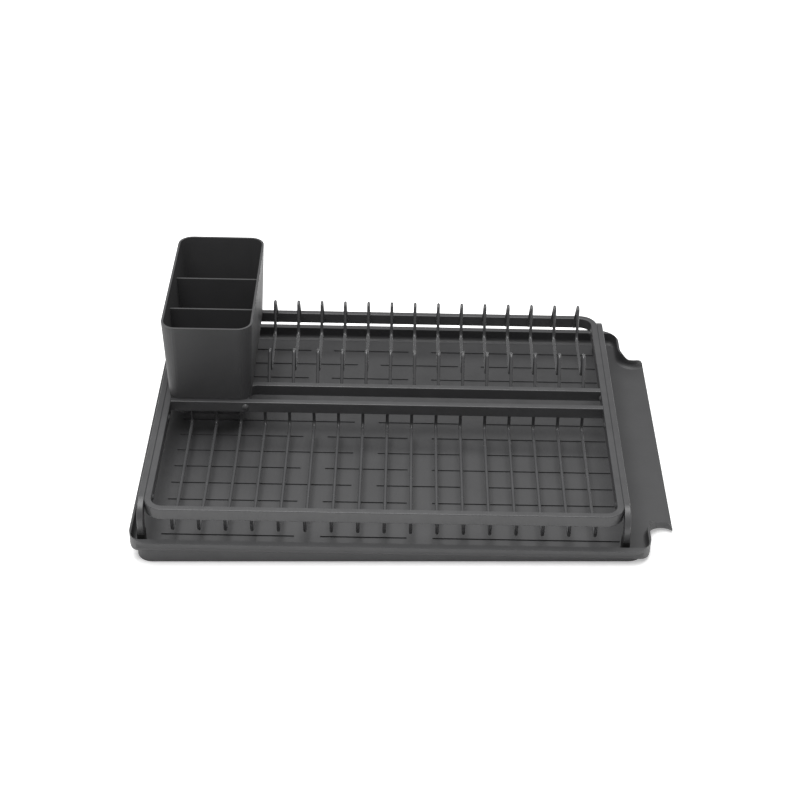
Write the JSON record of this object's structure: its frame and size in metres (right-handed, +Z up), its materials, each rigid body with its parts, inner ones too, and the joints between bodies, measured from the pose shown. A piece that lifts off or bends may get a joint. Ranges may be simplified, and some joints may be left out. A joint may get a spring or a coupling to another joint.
{
  "type": "dish drying rack",
  "caption": "Coated steel dish rack with plate wires and a lift-out cutlery holder, standing in a plastic drip tray that slopes to a side spout.",
  "frame": {"origin": "middle of the whole object's base, on the table", "axes": "+X towards the spout, +Y towards the back, +Z up"},
  "size_m": [0.5192, 0.385, 0.1457],
  "materials": {
    "tray_plastic": "moulded, fine matt texture",
    "holder_plastic": "moulded, fine matt texture",
    "frame_coating": "satin powder coat",
    "wire_coating": "satin coat",
    "rivet_coating": "satin powder coat",
    "rubber": "matt"
  },
  "bodies": {
    "tray": {"drip_tray": "tray_plastic", "tray_pads": "rubber"},
    "rack": {"frame_ring": "frame_coating", "cross_bar": "frame_coating", "plate_bar": "frame_coating", "left_leg": "frame_coating", "right_leg": "frame_coating", "left_rivets": "rivet_coating", "right_rivets": "rivet_coating", "bar_rivet": "rivet_coating", "left_front_foot": "rubber", "left_rear_foot": "rubber", "right_front_foot": "rubber", "right_rear_foot": "rubber", "front_wire_1": "wire_coating", "front_wire_2": "wire_coating", "front_wire_3": "wire_coating", "front_wire_4": "wire_coating", "front_wire_5": "wire_coating", "front_wire_6": "wire_coating", "front_wire_7": "wire_coating", "front_wire_8": "wire_coating", "front_wire_9": "wire_coating", "front_wire_10": "wire_coating", "front_wire_11": "wire_coating", "front_wire_12": "wire_coating", "front_wire_13": "wire_coating", "front_wire_14": "wire_coating", "front_wire_15": "wire_coating", "front_wire_16": "wire_coating", "front_wire_17": "wire_coating", "plate_wire_1": "wire_coating", "plate_wire_2": "wire_coating", "plate_wire_3": "wire_coating", "plate_wire_4": "wire_coating", "plate_wire_5": "wire_coating", "plate_wire_6": "wire_coating", "plate_wire_7": "wire_coating", "plate_wire_8": "wire_coating", "plate_wire_9": "wire_coating", "plate_wire_10": "wire_coating", "plate_wire_11": "wire_coating", "plate_wire_12": "wire_coating", "plate_wire_13": "wire_coating", "plate_wire_14": "wire_coating"},
    "holder": {"cutlery_holder": "holder_plastic"}
  },
  "joints": [
    {"name": "rack_lift", "type": "slide", "parent": "tray", "child": "rack", "axis": [0.0227, 0, 0.9997], "range_m": [0, 0.15]},
    {"name": "holder_lift", "type": "slide", "parent": "rack", "child": "holder", "axis": [0.0227, 0, 0.9997], "range_m": [0, 0.12]}
  ]
}
